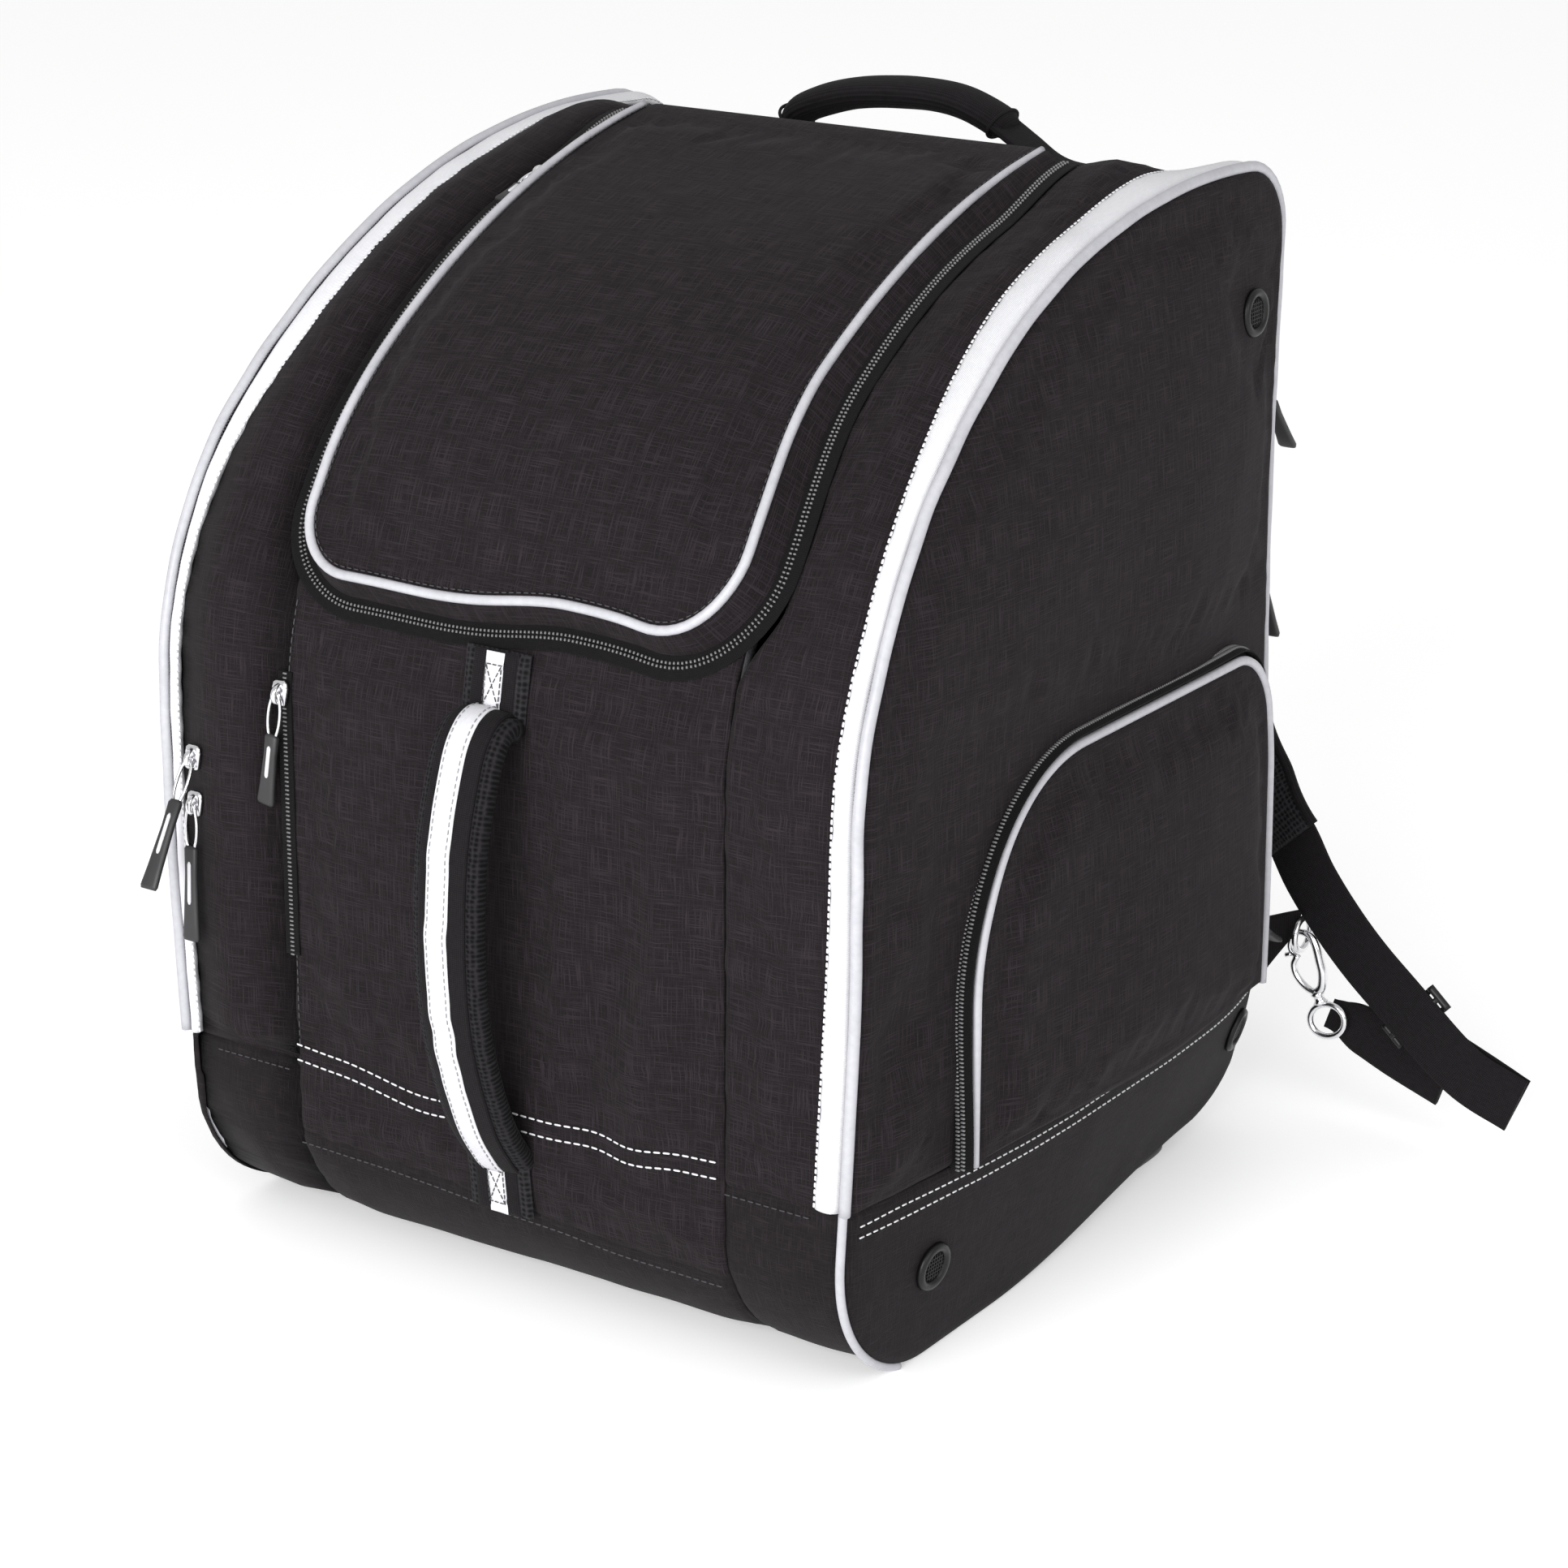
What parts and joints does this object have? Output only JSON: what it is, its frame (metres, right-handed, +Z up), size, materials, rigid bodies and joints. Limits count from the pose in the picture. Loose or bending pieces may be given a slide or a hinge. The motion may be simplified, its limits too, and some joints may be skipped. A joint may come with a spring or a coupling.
{
  "type": "ski boot bag",
  "caption": "Upright ski boot bag with zipped side-entry boot doors, a curved helmet flap, side pockets, a carry handle, a front grab handle and clip-on shoulder straps.",
  "frame": {"origin": "on the floor under the middle of the bag's body, midway between its front and back faces", "axes": "+Z up, -Y towards the front with the grab handle, +Y towards the back panel and straps, +X towards the right door"},
  "size_m": [0.6472, 0.4501, 0.509],
  "materials": {
    "shell_fabric": "slubbed linen-look weave, matte",
    "coated_fabric": "coated, low sheen",
    "padded_mesh": "spacer mesh, matte",
    "lining": "smooth",
    "board": "matte",
    "white_tape": "woven tape",
    "white_piping": "smooth satin",
    "zip_coil": "satin",
    "webbing": "ribbed webbing",
    "reflective_tape": "silvery tape",
    "chrome": "polished",
    "zip_pull": "soft satin",
    "black_plastic": "satin"
  },
  "bodies": {
    "bag_body": {"front_panel": "shell_fabric", "front_lower_band": "coated_fabric", "top_panel": "shell_fabric", "back_panel": "padded_mesh", "base_panel": "coated_fabric", "left_gusset": "shell_fabric", "right_gusset": "shell_fabric", "gusset_lower_bands": "coated_fabric", "base_stiffener": "board", "front_pocket_lining": "lining", "left_divider": "lining", "right_divider": "lining", "left_lower_side": "coated_fabric", "right_lower_side": "coated_fabric", "lower_vents": "black_plastic", "door_zip_tapes": "white_tape", "lower_piping": "white_piping", "body_zip_coils": "zip_coil", "strap_d_rings": "chrome", "webbing_anchors": "webbing"},
    "left_door": {"left_door": "shell_fabric", "left_door_piping": "white_piping", "left_door_vent": "black_plastic"},
    "left_pocket": {"left_pocket": "shell_fabric"},
    "right_door": {"right_door": "shell_fabric", "right_door_piping": "white_piping", "right_door_vent": "black_plastic"},
    "right_pocket": {"right_pocket": "shell_fabric"},
    "helmet_flap": {"helmet_flap": "shell_fabric", "flap_piping": "white_piping"},
    "carry_handle": {"carry_handle_webbing": "webbing", "carry_handle_grip": "webbing"},
    "grab_handle": {"grab_handle_webbing": "webbing", "grab_handle_stripe": "reflective_tape"},
    "left_door_slider_upper": {"left_door_slider_upper": "chrome"},
    "left_door_pull_upper": {"left_door_pull_upper": "zip_pull"},
    "left_door_slider_lower": {"left_door_slider_lower": "chrome"},
    "left_door_pull_lower": {"left_door_pull_lower": "zip_pull"},
    "right_door_slider_upper": {"right_door_slider_upper": "chrome"},
    "right_door_pull_upper": {"right_door_pull_upper": "zip_pull"},
    "right_door_slider_lower": {"right_door_slider_lower": "chrome"},
    "right_door_pull_lower": {"right_door_pull_lower": "zip_pull"},
    "front_pocket_slider": {"front_pocket_slider": "chrome"},
    "front_pocket_pull": {"front_pocket_pull": "zip_pull"},
    "flap_slider": {"flap_slider": "chrome"},
    "flap_pull": {"flap_pull": "zip_pull"},
    "left_pocket_slider": {"left_pocket_slider": "chrome"},
    "left_pocket_pull": {"left_pocket_pull": "zip_pull"},
    "right_pocket_slider": {"right_pocket_slider": "chrome"},
    "right_pocket_pull": {"right_pocket_pull": "zip_pull"},
    "left_strap": {"left_strap_pad": "padded_mesh", "left_strap_webbing": "webbing"},
    "left_strap_adjuster": {"left_strap_adjuster": "black_plastic"},
    "left_strap_hook": {"left_strap_hook": "chrome"},
    "left_hook_gate": {"left_hook_gate": "chrome"},
    "right_strap": {"right_strap_pad": "padded_mesh", "right_strap_webbing": "webbing"},
    "right_strap_adjuster": {"right_strap_adjuster": "black_plastic"},
    "right_strap_hook": {"right_strap_hook": "chrome"},
    "right_hook_gate": {"right_hook_gate": "chrome"}
  },
  "joints": [
    {"name": "left_door_swing", "type": "hinge", "parent": "bag_body", "child": "left_door", "pos_m": [-0.1995, 0, 0.0915], "axis": [0, -1, 0], "range_deg": [0, 90], "stiffness_Nm_per_rad": 1.2},
    {"name": "left_pocket_open", "type": "hinge", "parent": "left_door", "child": "left_pocket", "pos_m": [-0.1995, 0, 0.0925], "axis": [0, -1, 0], "range_deg": [0, 35], "stiffness_Nm_per_rad": 1},
    {"name": "right_door_swing", "type": "hinge", "parent": "bag_body", "child": "right_door", "pos_m": [0.1995, 0, 0.0915], "axis": [0, 1, 0], "range_deg": [0, 90], "stiffness_Nm_per_rad": 1.2},
    {"name": "right_pocket_open", "type": "hinge", "parent": "right_door", "child": "right_pocket", "pos_m": [0.1995, 0, 0.0925], "axis": [0, 1, 0], "range_deg": [0, 35], "stiffness_Nm_per_rad": 1},
    {"name": "helmet_flap_lift", "type": "hinge", "parent": "bag_body", "child": "helmet_flap", "pos_m": [0, 0.085, 0.486], "axis": [-1, 0, 0], "range_deg": [0, 110]},
    {"name": "carry_handle_fold", "type": "hinge", "parent": "bag_body", "child": "carry_handle", "pos_m": [0, 0.15, 0.485], "axis": [1, 0, 0], "range_deg": [-45, 42], "stiffness_Nm_per_rad": 0.05},
    {"name": "grab_handle_swing", "type": "hinge", "parent": "bag_body", "child": "grab_handle", "pos_m": [0, -0.186, 0.178], "axis": [0, 0, 1], "range_deg": [-20, 20], "stiffness_Nm_per_rad": 0.05},
    {"name": "left_door_slider_upper_travel", "type": "slide", "parent": "left_door", "child": "left_door_slider_upper", "axis": [0, 0, 1], "range_m": [0, 0.032]},
    {"name": "left_door_pull_upper_flip", "type": "hinge", "parent": "left_door_slider_upper", "child": "left_door_pull_upper", "pos_m": [-0.168, -0.1902, 0.228], "axis": [-1, 0, 0], "range_deg": [-10, 110]},
    {"name": "left_door_slider_lower_travel", "type": "slide", "parent": "left_door", "child": "left_door_slider_lower", "axis": [0, 0, 1], "range_m": [-0.05, 0]},
    {"name": "left_door_pull_lower_flip", "type": "hinge", "parent": "left_door_slider_lower", "child": "left_door_pull_lower", "pos_m": [-0.168, -0.1902, 0.206], "axis": [-1, 0, 0], "range_deg": [0, 18]},
    {"name": "right_door_slider_upper_travel", "type": "slide", "parent": "right_door", "child": "right_door_slider_upper", "axis": [0, 0, 1], "range_m": [0, 0.055]},
    {"name": "right_door_pull_upper_flip", "type": "hinge", "parent": "right_door_slider_upper", "child": "right_door_pull_upper", "pos_m": [0.168, 0.1902, 0.378], "axis": [1, 0, 0], "range_deg": [0, 140]},
    {"name": "right_door_slider_lower_travel", "type": "slide", "parent": "right_door", "child": "right_door_slider_lower", "axis": [0, 0, 1], "range_m": [-0.12, 0]},
    {"name": "right_door_pull_lower_flip", "type": "hinge", "parent": "right_door_slider_lower", "child": "right_door_pull_lower", "pos_m": [0.168, 0.1902, 0.297], "axis": [1, 0, 0], "range_deg": [0, 140]},
    {"name": "front_pocket_slider_travel", "type": "slide", "parent": "bag_body", "child": "front_pocket_slider", "axis": [0, 0, 1], "range_m": [-0.112, 0]},
    {"name": "front_pocket_pull_flip", "type": "hinge", "parent": "front_pocket_slider", "child": "front_pocket_pull", "pos_m": [-0.117, -0.1902, 0.267], "axis": [-1, 0, 0], "range_deg": [0, 140]},
    {"name": "flap_slider_travel", "type": "hinge", "parent": "helmet_flap", "child": "flap_slider", "pos_m": [0, 0.14234, 0.05899], "axis": [1, 0, 0], "range_deg": [-6, 16]},
    {"name": "flap_pull_flip", "type": "hinge", "parent": "flap_slider", "child": "flap_pull", "pos_m": [-0.1195, 0.01033, 0.46529], "axis": [-1, 0, 0], "range_deg": [0, 140]},
    {"name": "left_pocket_slider_travel", "type": "slide", "parent": "left_pocket", "child": "left_pocket_slider", "axis": [0, 0, 1], "range_m": [0, 0.085]},
    {"name": "left_pocket_pull_flip", "type": "hinge", "parent": "left_pocket_slider", "child": "left_pocket_pull", "pos_m": [-0.1895, 0.1559, 0.118], "axis": [1, 0, 0], "range_deg": [-45, 70]},
    {"name": "right_pocket_slider_travel", "type": "slide", "parent": "right_pocket", "child": "right_pocket_slider", "axis": [0, 0, 1], "range_m": [0, 0.085]},
    {"name": "right_pocket_pull_flip", "type": "hinge", "parent": "right_pocket_slider", "child": "right_pocket_pull", "pos_m": [0.1895, 0.1559, 0.118], "axis": [1, 0, 0], "range_deg": [-45, 70]},
    {"name": "left_strap_swing", "type": "hinge", "parent": "bag_body", "child": "left_strap", "pos_m": [-0.187, 0.215, 0.085], "axis": [-0.3009, 0, -0.9537], "range_deg": [0, 25], "stiffness_Nm_per_rad": 0.3},
    {"name": "left_strap_adjuster_slide", "type": "slide", "parent": "left_strap", "child": "left_strap_adjuster", "axis": [-0.7314, 0, -0.682], "range_m": [-0.03, 0.008]},
    {"name": "left_strap_hook_turn", "type": "hinge", "parent": "left_strap", "child": "left_strap_hook", "pos_m": [-0.187, 0.215, 0.085], "axis": [-0.4147, 0, -0.91], "range_deg": [-18, 18], "stiffness_Nm_per_rad": 0.02},
    {"name": "left_hook_gate_open", "type": "hinge", "parent": "left_strap_hook", "child": "left_hook_gate", "pos_m": [-0.19884, 0.215, 0.07831], "axis": [0, 1, 0], "range_deg": [0, 20], "stiffness_Nm_per_rad": 0.05},
    {"name": "right_strap_swing", "type": "hinge", "parent": "bag_body", "child": "right_strap", "pos_m": [0.187, 0.215, 0.085], "axis": [-0.3009, 0, 0.9537], "range_deg": [0, 25], "stiffness_Nm_per_rad": 0.3},
    {"name": "right_strap_adjuster_slide", "type": "slide", "parent": "right_strap", "child": "right_strap_adjuster", "axis": [0.7314, 0, -0.682], "range_m": [-0.03, 0.008]},
    {"name": "right_strap_hook_turn", "type": "hinge", "parent": "right_strap", "child": "right_strap_hook", "pos_m": [0.187, 0.215, 0.085], "axis": [0.4147, 0, -0.91], "range_deg": [-18, 18], "stiffness_Nm_per_rad": 0.02},
    {"name": "right_hook_gate_open", "type": "hinge", "parent": "right_strap_hook", "child": "right_hook_gate", "pos_m": [0.19884, 0.215, 0.07831], "axis": [0, -1, 0], "range_deg": [0, 20], "stiffness_Nm_per_rad": 0.05}
  ]
}
